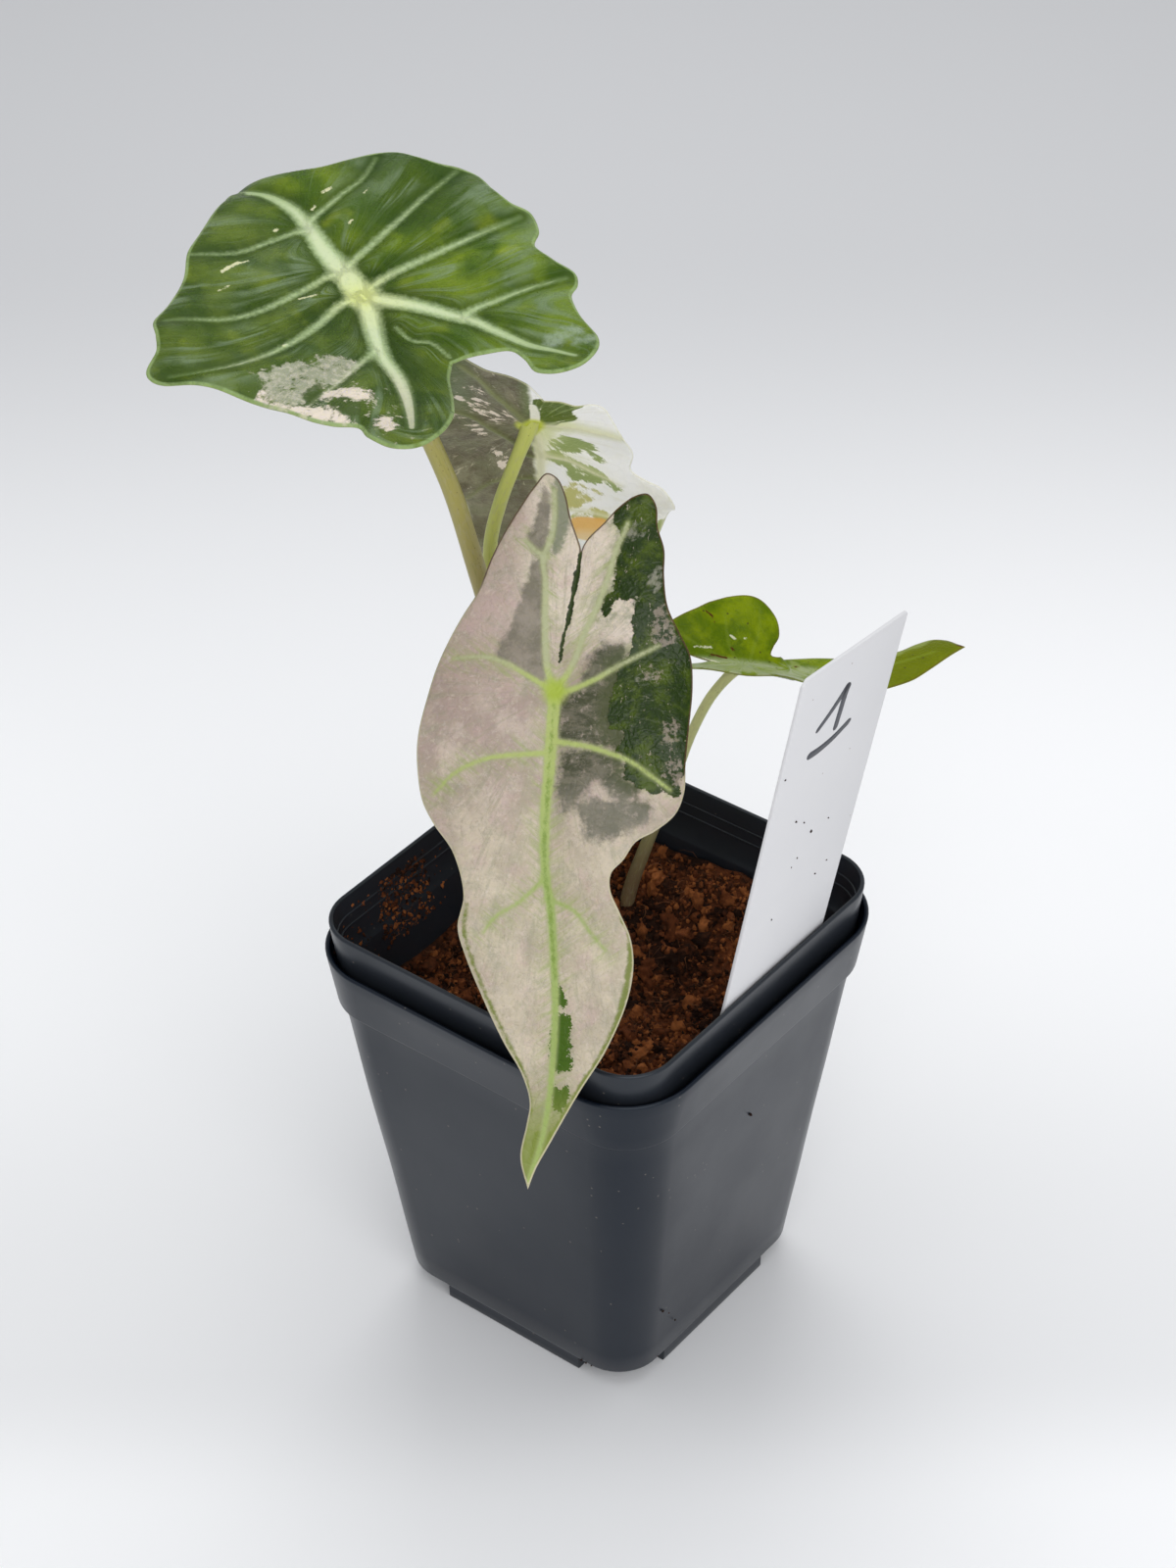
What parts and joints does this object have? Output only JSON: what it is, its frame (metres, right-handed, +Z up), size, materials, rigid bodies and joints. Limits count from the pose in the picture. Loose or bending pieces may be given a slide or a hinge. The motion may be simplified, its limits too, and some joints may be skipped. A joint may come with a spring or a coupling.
{
  "type": "potted alocasia polly",
  "caption": "Young variegated arrowhead-leaved house plant in nested square dark plastic nursery pots, with a white plant label at the rim.",
  "frame": {"origin": "middle of the outer pot's foot, on the surface that it stands on", "axes": "+Z up; X and Y across the square pot's sides, with the label at the +X rim"},
  "size_m": [0.173, 0.1518, 0.2675],
  "materials": {
    "outer_pot_plastic": "satin, blow-moulded dark slate grey",
    "inner_pot_plastic": "semi-gloss, near black",
    "coir_mix": "loose reddish-brown coir crumbs and fibres",
    "rhizome_skin": "rough brown skin, fleshy pale roots",
    "label_plastic": "satin white, pencilled numeral",
    "stalk_tan": "fleshy stalk, tan with short brown dashes",
    "stalk_green": "fleshy stalk, pale yellow-green",
    "leaf_dark_green": "glossy leaf, wide pale veins, pink and cream patches",
    "leaf_cream_pink": "satin leaf, cream and mauve with dark green patches",
    "leaf_underside": "matte leaf underside, half purple-grey and half cream",
    "leaf_light_green": "thin young leaf, yellow-green"
  },
  "bodies": {
    "root": {"outer_pot": "outer_pot_plastic", "inner_pot": "inner_pot_plastic", "potting_mix": "coir_mix", "rhizome": "rhizome_skin", "plant_label": "label_plastic", "petiole_1": "stalk_tan", "petiole_2": "stalk_green", "petiole_3": "stalk_green", "petiole_4": "stalk_green", "leaf_1": "leaf_dark_green", "leaf_2": "leaf_cream_pink", "leaf_3": "leaf_underside", "leaf_4": "leaf_light_green"}
  },
  "joints": []
}
